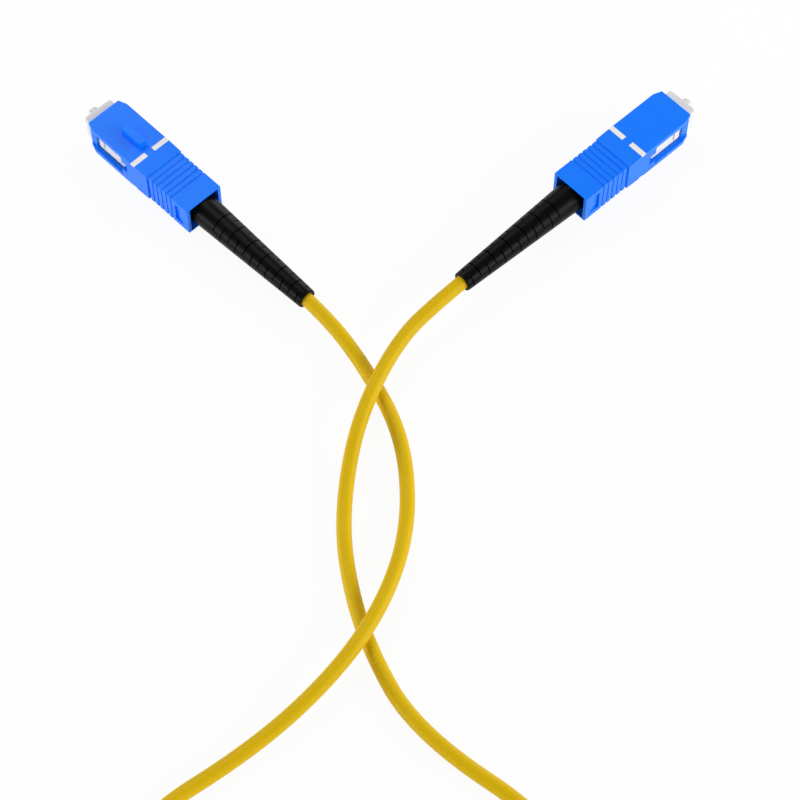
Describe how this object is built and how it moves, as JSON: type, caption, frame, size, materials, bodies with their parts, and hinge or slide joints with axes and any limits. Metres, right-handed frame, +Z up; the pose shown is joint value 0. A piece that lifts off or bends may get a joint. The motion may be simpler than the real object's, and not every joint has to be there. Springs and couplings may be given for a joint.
{
  "type": "fibre optic patch cable",
  "caption": "Short simplex fibre patch cable with blue push-pull plugs, sprung ferrules and slit boots on a looped yellow jacket",
  "frame": {"origin": "centre of the plugs' footprint, on the surface that the cable lies on", "axes": "+X across the pair from the key-up plug to the key-down plug, +Y away from the cord loop, +Z up"},
  "size_m": [0.1188, 0.1874, 0.0088],
  "materials": {
    "grip_blue": "moulded satin gloss",
    "frame_white": "moulded satin",
    "mark_white": "matt inlay",
    "ferrule_ceramic": "polished",
    "flange_metal": "nickel plated",
    "spring_steel": "drawn wire",
    "post_metal": "nickel plated",
    "crimp_metal": "satin",
    "boot_black": "matt moulded",
    "cord_yellow": "smooth satin"
  },
  "bodies": {
    "cable": {"a_plug_frame": "frame_white", "a_back_post": "post_metal", "a_crimp_sleeve": "crimp_metal", "a_cord_end": "cord_yellow", "a_boot": "boot_black", "a_spring": "spring_steel", "b_plug_frame": "frame_white", "b_back_post": "post_metal", "b_crimp_sleeve": "crimp_metal", "b_cord_end": "cord_yellow", "b_boot": "boot_black", "b_spring": "spring_steel", "cord": "cord_yellow"},
    "a_grip": {"a_grip": "grip_blue", "a_mark_key_face_left": "mark_white", "a_mark_key_face_right": "mark_white", "a_mark_plain_face_left": "mark_white", "a_mark_plain_face_right": "mark_white"},
    "a_ferrule": {"a_ferrule": "ferrule_ceramic", "a_ferrule_flange": "flange_metal"},
    "b_grip": {"b_grip": "grip_blue", "b_mark_key_face_left": "mark_white", "b_mark_key_face_right": "mark_white", "b_mark_plain_face_left": "mark_white", "b_mark_plain_face_right": "mark_white"},
    "b_ferrule": {"b_ferrule": "ferrule_ceramic", "b_ferrule_flange": "flange_metal"}
  },
  "joints": [
    {"name": "a_grip_slide", "type": "slide", "parent": "cable", "child": "a_grip", "axis": [-0.7022, 0.712, 0], "range_m": [-0.0009, 0.0009]},
    {"name": "a_ferrule_slide", "type": "slide", "parent": "cable", "child": "a_ferrule", "axis": [-0.7022, 0.712, 0], "range_m": [-0.0015, 0], "stiffness_N_per_m": 4000, "deforming": ["a_spring"]},
    {"name": "b_grip_slide", "type": "slide", "parent": "cable", "child": "b_grip", "axis": [0.7325, 0.6807, 0], "range_m": [-0.0009, 0.0009]},
    {"name": "b_ferrule_slide", "type": "slide", "parent": "cable", "child": "b_ferrule", "axis": [0.7325, 0.6807, 0], "range_m": [-0.0015, 0], "stiffness_N_per_m": 4000, "deforming": ["b_spring"]}
  ]
}
